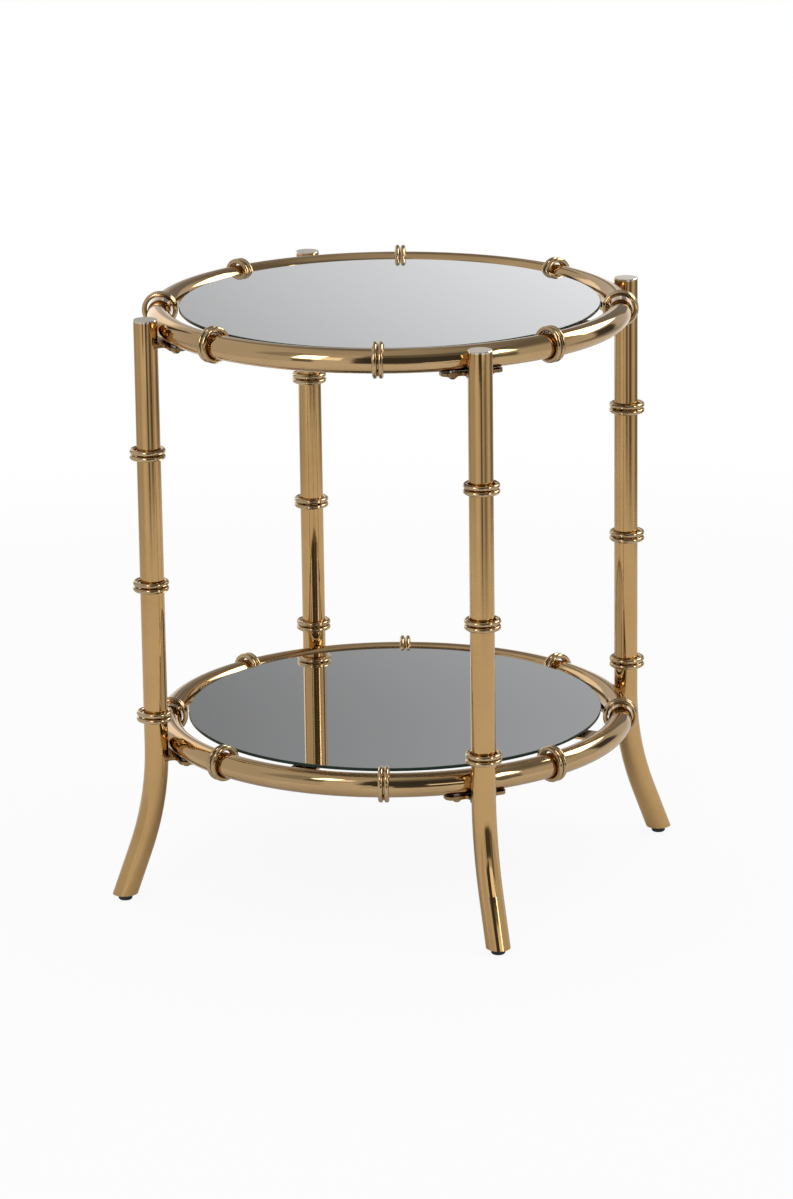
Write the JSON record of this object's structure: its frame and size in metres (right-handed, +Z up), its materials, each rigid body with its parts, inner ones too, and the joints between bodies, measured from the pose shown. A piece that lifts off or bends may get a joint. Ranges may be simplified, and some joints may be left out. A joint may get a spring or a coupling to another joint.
{
  "type": "side table",
  "caption": "Round tiered side table: mirrored glass shelves in polished gold tube rings with bamboo-style wire knots, on swept legs with small screw feet.",
  "frame": {"origin": "on the floor, under the middle of the table", "axes": "+Z up along the axis of the rings; the legs stand on the X and Y axes, front leg on -Y"},
  "size_m": [0.556, 0.556, 0.55],
  "materials": {
    "polished_gold": "polished, gold-coloured plating on steel tube, wire and plate",
    "mirror_glass": "clear glass silvered on its underside, edge ground and dark green",
    "clear_bumper": "clear soft plastic dots",
    "black_nylon": "black moulded nylon, slightly glossy",
    "plain_steel": "bright zinc-plated steel"
  },
  "bodies": {
    "frame": {"back_leg": "polished_gold", "back_leg_cap": "polished_gold", "back_leg_lower_knot": "polished_gold", "back_leg_middle_knot": "polished_gold", "back_leg_plug": "plain_steel", "back_leg_upper_knot": "polished_gold", "back_lower_bracket": "polished_gold", "back_upper_bracket": "polished_gold", "front_leg": "polished_gold", "front_leg_cap": "polished_gold", "front_leg_lower_knot": "polished_gold", "front_leg_middle_knot": "polished_gold", "front_leg_plug": "plain_steel", "front_leg_upper_knot": "polished_gold", "front_lower_bracket": "polished_gold", "front_upper_bracket": "polished_gold", "left_leg": "polished_gold", "left_leg_cap": "polished_gold", "left_leg_lower_knot": "polished_gold", "left_leg_middle_knot": "polished_gold", "left_leg_plug": "plain_steel", "left_leg_upper_knot": "polished_gold", "left_lower_bracket": "polished_gold", "left_upper_bracket": "polished_gold", "lower_bolt_washers": "polished_gold", "lower_bolts": "polished_gold", "lower_mirror_bumpers": "clear_bumper", "lower_mirror_tabs": "polished_gold", "lower_ring": "polished_gold", "lower_ring_bushes": "plain_steel", "lower_ring_knots": "polished_gold", "right_leg": "polished_gold", "right_leg_cap": "polished_gold", "right_leg_lower_knot": "polished_gold", "right_leg_middle_knot": "polished_gold", "right_leg_plug": "plain_steel", "right_leg_upper_knot": "polished_gold", "right_lower_bracket": "polished_gold", "right_upper_bracket": "polished_gold", "upper_bolt_washers": "polished_gold", "upper_bolts": "polished_gold", "upper_mirror_bumpers": "clear_bumper", "upper_mirror_tabs": "polished_gold", "upper_ring": "polished_gold", "upper_ring_bushes": "plain_steel", "upper_ring_knots": "polished_gold"},
    "upper_mirror": {"upper_mirror": "mirror_glass"},
    "lower_mirror": {"lower_mirror": "mirror_glass"},
    "right_foot": {"right_foot_pad": "black_nylon", "right_foot_stud": "plain_steel"},
    "back_foot": {"back_foot_pad": "black_nylon", "back_foot_stud": "plain_steel"},
    "left_foot": {"left_foot_pad": "black_nylon", "left_foot_stud": "plain_steel"},
    "front_foot": {"front_foot_pad": "black_nylon", "front_foot_stud": "plain_steel"}
  },
  "joints": [
    {"name": "upper_mirror_lift", "type": "slide", "parent": "frame", "child": "upper_mirror", "axis": [0, 0, 1], "range_m": [0, 0.1]},
    {"name": "lower_mirror_lift", "type": "slide", "parent": "frame", "child": "lower_mirror", "axis": [0, 0, 1], "range_m": [0, 0.1]},
    {"name": "right_foot_screw", "type": "slide", "parent": "frame", "child": "right_foot", "axis": [0, 0, -1], "range_m": [0, 0.008]},
    {"name": "back_foot_screw", "type": "slide", "parent": "frame", "child": "back_foot", "axis": [0, 0, -1], "range_m": [0, 0.008]},
    {"name": "left_foot_screw", "type": "slide", "parent": "frame", "child": "left_foot", "axis": [0, 0, -1], "range_m": [0, 0.008]},
    {"name": "front_foot_screw", "type": "slide", "parent": "frame", "child": "front_foot", "axis": [0, 0, -1], "range_m": [0, 0.008]}
  ]
}
